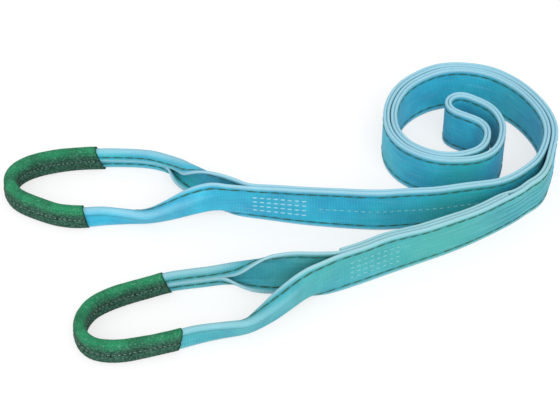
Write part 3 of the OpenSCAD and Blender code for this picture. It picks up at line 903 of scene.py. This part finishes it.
def sleeve_shape(eye, along, share, inset=0.0):
    """A point of the sleeve, by distance, share of the way round and depth: across, up."""
    low, high = SLEEVE_SPAN[eye]
    thick, tall = SLEEVE_HALF[eye]
    tip = np.clip(1 - ((along - (high - low) / 2) / 78) ** 2, 0, 1)
    turn = np.interp(share, outline_run / outline_run[-1], sweep)
    across, up = rounded(turn, thick + 0.9 * tip - inset, tall + 0.2 * tip - inset)
    flat_side = np.clip(1 - abs(up) / 13, 0, 1) ** 0.4
    grown = 0.55 / (1 + np.exp((up - SEAM_UP) / 0.4)) - 0.55 * dip(up, SEAM_UP + 0.9, 0.9)
    grown = grown + 0.22 * np.cos(2 * np.pi * along / SLEEVE_PITCH) * (up < SEAM_UP)
    uneven = 0.35 * np.sin(along / 9.0 + up / 5) + 0.25 * np.sin(along / 4.1 - up / 7)
    uneven = uneven + 0.3 * np.sin(along / 2.3 + up / 2) * np.sin(along / 17)
    return across + np.sign(across) * flat_side * (grown + 0.5 * uneven), up + 0.15 * uneven


def slanted(eye, along, up):
    """The mouths aren't cut square: distance along, moved at each end by height."""
    length = SLEEVE_SPAN[eye][1] - SLEEVE_SPAN[eye][0]
    first, last = MOUTH_SLANT[eye]
    near = along / length
    return along - up / 13 * (first * (1 - near) ** 3 + last * near**3)


def flat_sleeve(eye):
    """The sleeve as a straight tube along x, with an inside as well as an outside."""
    flat = bmesh.new()
    bmesh.ops.create_cone(flat, segments=AROUND, radius1=1, radius2=1, depth=1, cap_ends=False)
    span = SLEEVE_SPAN[eye]
    steps = round((span[1] - span[0]) / 1.7)
    long_edges = [e for e in flat.edges if abs(e.verts[0].co.z - e.verts[1].co.z) > 0.5]
    bmesh.ops.subdivide_edges(flat, edges=long_edges, cuts=steps - 1, use_grid_fill=True)
    wall = bmesh.ops.extrude_face_region(flat, geom=flat.faces[:], use_keep_orig=True)
    inner = {v for v in wall["geom"] if isinstance(v, bmesh.types.BMVert)}
    inset = np.array([SLEEVE_T if v in inner else 0.0 for v in flat.verts])
    co = np.array([v.co for v in flat.verts])
    along = (co[:, 2] + 0.5) * (span[1] - span[0])
    share = np.arctan2(co[:, 1], co[:, 0]) / (2 * np.pi) % 1
    across, up = sleeve_shape(eye, along, share, inset)
    along = slanted(eye, along, up)
    for vert, a, b, c in zip(flat.verts, along, across, up):
        vert.co = (start_of[eye] + span[0] + a, b, c)
    return flat


def sleeve(eye):
    low, high = [start_of[eye] + d for d in SLEEVE_SPAN[eye]]

    def hem(s, across, up):
        first, last = [k * -up / 13 for k in MOUTH_SLANT[eye]]
        return 0.9 * np.clip(1 - np.minimum(s - low - first, high + last - s) / 1.8, 0, 1)

    # Darker below the top of the sleeve and along the sewn line: dirt, and painted shade on the
    # sides.
    def soiled(s, across, up):
        side_face = np.clip((12.8 - up) / 8, 0, 1)
        return np.clip(0.86 * side_face + 0.14 * dip(up, SEAM_UP + 0.9, 1.2), 0, 1)

    piece = finish_piece(f"sleeve_{eye}", flat_sleeve(eye), green_cloth, "sleeve_cloth", stand,
                         hem=hem, soiled=soiled)
    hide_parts(f"{eye}_sleeve")
    print(f"{piece.name}: {len(piece.data.polygons)} faces")


for eye in SLEEVE_SPAN:
    sleeve(eye)

# %% [markdown]
# The sleeve's own stitches lie in the groove above the doubled cloth, on both faces.

# %% Sleeve stitches
def sleeve_stitches(eye):
    flat = bmesh.new()
    span = SLEEVE_SPAN[eye]
    shares = np.linspace(0, 1, OUTLINE_POINTS)
    for along in np.arange(6.0, span[1] - span[0] - 5, SLEEVE_PITCH):
        across, up = sleeve_shape(eye, np.full(OUTLINE_POINTS, along), shares)
        for face in (1, -1):
            near = np.argmin(abs(up - SEAM_UP - 0.9) + 99 * (across * face < 0))
            at = slanted(eye, along, up[near])
            place = (Matrix.Translation((start_of[eye] + span[0] + at, across[near] + 0.3 * face,
                                         up[near]))
                     @ Matrix.Diagonal((1.4, 0.5, 0.6, 1)))
            bmesh.ops.create_uvsphere(flat, u_segments=8, v_segments=5, radius=1.0, matrix=place)
    piece = finish_piece(f"sleeve_{eye}_stitches", flat, sleeve_thread, "thread_pale", stand)
    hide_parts(f"{eye}_sleeve_seam")
    print(f"{piece.name}: {len(piece.data.polygons)} faces")


for eye in SLEEVE_SPAN:
    sleeve_stitches(eye)

# %% [markdown]
# A sleeve is cut as a plain rectangle: as wide as the way round it and a lap to sew, and as long
# as the sleeve.

# %% [markdown]
# ## What rides on what
# The coil and its stitches ride on one body, and each sleeve and its stitches on the body of its
# eye. The pieces that cross a flex line or a throat, and the rows along leg 1 and the lap, are
# baked where they stand.


BENT = {
    "flex_1": ["webbing_leg_1_front", "webbing_leg_1_back", "leg_1_upper_stitches",
               "leg_1_lower_stitches"],
    "flex_2": ["webbing_lap", "webbing_leg_2_front", "lap_upper_stitches", "lap_lower_stitches",
               "leg_2_upper_stitches", "leg_2_lower_stitches"],
    "throat_1": ["webbing_eye_1", "eye_1_upper_stitches", "eye_1_lower_stitches",
                 "leg_1_throat_stitches"],
    "throat_2": ["webbing_eye_2", "eye_2_upper_stitches", "eye_2_lower_stitches",
                 "leg_2_throat_stitches"],
}
RIDING = {
    "coil": ["webbing_coil_inner", "webbing_coil_outer", "coil_upper_stitches",
             "coil_lower_stitches"],
    "eye_1": ["sleeve_eye_1", "sleeve_eye_1_stitches"],
    "eye_2": ["sleeve_eye_2", "sleeve_eye_2_stitches"],
}
for bend_name, names in BENT.items():
    for name in names:
        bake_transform(pieces[name])
for body, names in RIDING.items():
    for name in names:
        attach(pieces[name], body)
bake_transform(pieces["leg_1_centre_stitches"])
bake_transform(pieces["lap_stitches"])
print("pieces:", len(pieces))

# %% [markdown]
# ## Floor and light
# The floor is plain and pale. To the camera it shows mostly as white, and it keeps a share of
# the soft shadow under the sling. A very soft sun from the front, one broad lamp and an even
# world light the cloth at a plain level, the same from end to end.

# %% Floor
FLOOR_HALF = 4.0
SHADOW_SHARE = 0.36
flat = bmesh.new()
bmesh.ops.create_grid(flat, x_segments=1, y_segments=1, size=FLOOR_HALF)
mesh = bpy.data.meshes.new("floor")
flat.to_mesh(mesh)
flat.free()
floor = bpy.data.objects.new("floor", mesh)
floor.location.z = -0.3 * MM
bpy.context.collection.objects.link(floor)
paper, output = new_material("pale_paper")
matt = add(paper, "BsdfPrincipled", {"Base Color": linear("#f8f8f8"), "Roughness": 0.9})
white = add(paper, "Emission", {"Color": (1, 1, 1, 1), "Strength": 1.0})
ray = add(paper, "LightPath")
seen = add(paper, "Math", {0: ray.outputs["Is Camera Ray"], 1: ray.outputs["Is Glossy Ray"]},
           operation="ADD", use_clamp=True)
share = add(paper, "Math", {0: seen.outputs[0], 1: 1 - SHADOW_SHARE}, operation="MULTIPLY")
both = add(paper, "MixShader", {0: share.outputs[0], 1: matt.outputs[0], 2: white.outputs[0]})
paper.node_tree.links.new(both.outputs[0], output.inputs[0])
mesh.materials.append(paper)

# %% World and lamps
world = bpy.data.worlds.new("world")
world.use_nodes = True
bpy.context.scene.world = world
world.node_tree.nodes["Background"].inputs["Color"].default_value = (1, 1, 1, 1)
world.node_tree.nodes["Background"].inputs["Strength"].default_value = 0.85


def lamp(name, kind, place, power, **settings):
    """A lamp that looks at the middle of the sling."""
    light = bpy.data.lights.new(name, kind)
    light.energy = power
    for setting, value in settings.items():
        setattr(light, setting, value)
    made = bpy.data.objects.new(name, light)
    made.location = place
    made.rotation_euler = (Vector(place) - LOOK_AT).to_track_quat("Z", "Y").to_euler()
    bpy.context.collection.objects.link(made)


lamp("key", "SUN", (0.5, -1.7, 1.5), 1.7, angle=math.radians(50))
lamp("fill", "AREA", (-1.4, -0.9, 1.2), 6, size=1.4)
bpy.context.scene.view_settings.view_transform = "Standard"
